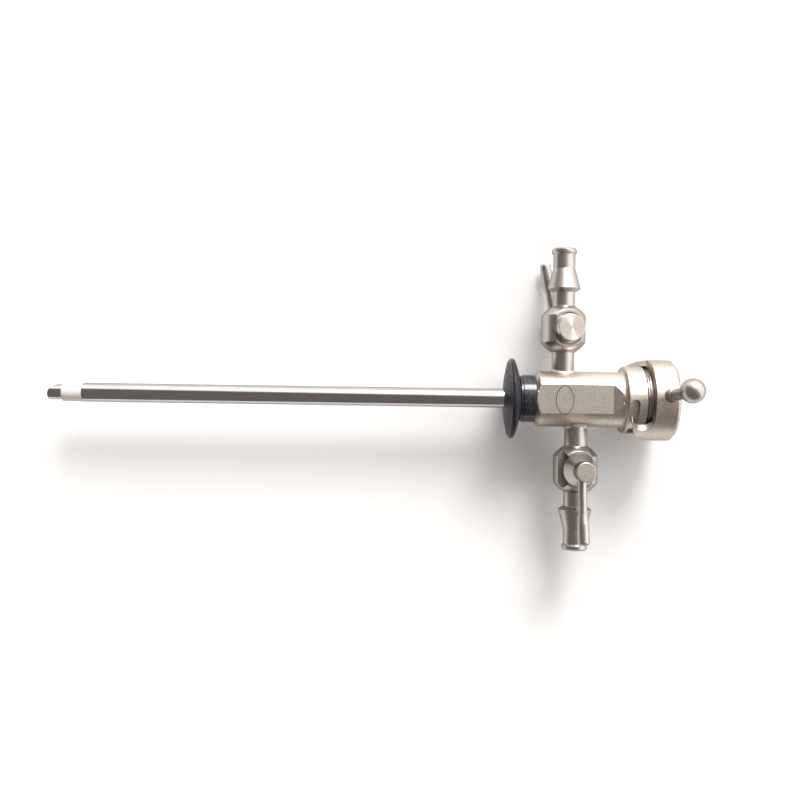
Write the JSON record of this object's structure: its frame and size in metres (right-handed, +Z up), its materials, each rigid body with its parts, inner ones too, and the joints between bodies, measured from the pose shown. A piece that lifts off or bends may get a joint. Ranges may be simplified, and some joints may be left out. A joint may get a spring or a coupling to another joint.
{
  "type": "resectoscope sheath",
  "caption": "Metal endoscope sheath with a long thin tube, ceramic insulated beak, guard disc, two side taps with hose nozzles and a bayonet lock turned by a ball knob.",
  "frame": {"origin": "on the tube's axis at the proximal face of the lock, the mouth of the lock socket", "axes": "+X along the tube towards the user, +Y along the upper tap's flow axis, +Z up, away from the surface that the sheath lies on"},
  "size_m": [0.2665, 0.127, 0.0543],
  "materials": {
    "tube_steel": "polished lengthwise",
    "blasted_steel": "bead blasted satin",
    "polished_steel": "polished",
    "turned_steel": "turned face",
    "white_ceramic": "fine ground",
    "black_plastic": "polished",
    "seal_rubber": "matte"
  },
  "bodies": {
    "sheath": {"outer_tube": "tube_steel", "inner_tube": "tube_steel", "insulating_tip": "white_ceramic", "beak": "tube_steel", "guard_disc": "black_plastic", "collar": "black_plastic", "hub_body": "blasted_steel", "lock_head": "blasted_steel", "body_seal": "seal_rubber", "face_seal": "seal_rubber", "retaining_ring": "polished_steel", "lock_spring": "polished_steel", "upper_stem": "blasted_steel", "upper_tap_body": "blasted_steel", "upper_nozzle": "blasted_steel", "lower_stem": "blasted_steel", "lower_tap_body": "blasted_steel", "lower_nozzle": "blasted_steel"},
    "locking_ring": {"lock_ring": "blasted_steel", "stop_pin": "polished_steel", "knob_stem": "blasted_steel", "knob_ball": "blasted_steel"},
    "upper_lever": {"upper_plug": "polished_steel", "upper_lever_hub": "blasted_steel", "upper_lever_rod": "blasted_steel", "upper_lever_grip": "blasted_steel", "upper_tap_washer": "polished_steel", "upper_spring_washer": "polished_steel", "upper_tap_cap": "turned_steel"},
    "lower_lever": {"lower_plug": "polished_steel", "lower_lever_hub": "blasted_steel", "lower_lever_rod": "blasted_steel", "lower_lever_grip": "blasted_steel", "lower_tap_washer": "polished_steel", "lower_spring_washer": "polished_steel", "lower_tap_cap": "turned_steel"}
  },
  "joints": [
    {"name": "lock_turn", "type": "hinge", "parent": "sheath", "child": "locking_ring", "pos_m": [-0.005, 0, 0], "axis": [1, 0, 0], "range_deg": [-48, 0]},
    {"name": "upper_tap_turn", "type": "hinge", "parent": "sheath", "child": "upper_lever", "pos_m": [-0.0456, 0.0294, 0], "axis": [0.1219, 0, 0.9925], "range_deg": [-7.5, 82.5]},
    {"name": "lower_tap_turn", "type": "hinge", "parent": "sheath", "child": "lower_lever", "pos_m": [-0.0398, -0.0294, 0], "axis": [0.0541, 0, 0.9985], "range_deg": [-90, 0]}
  ]
}
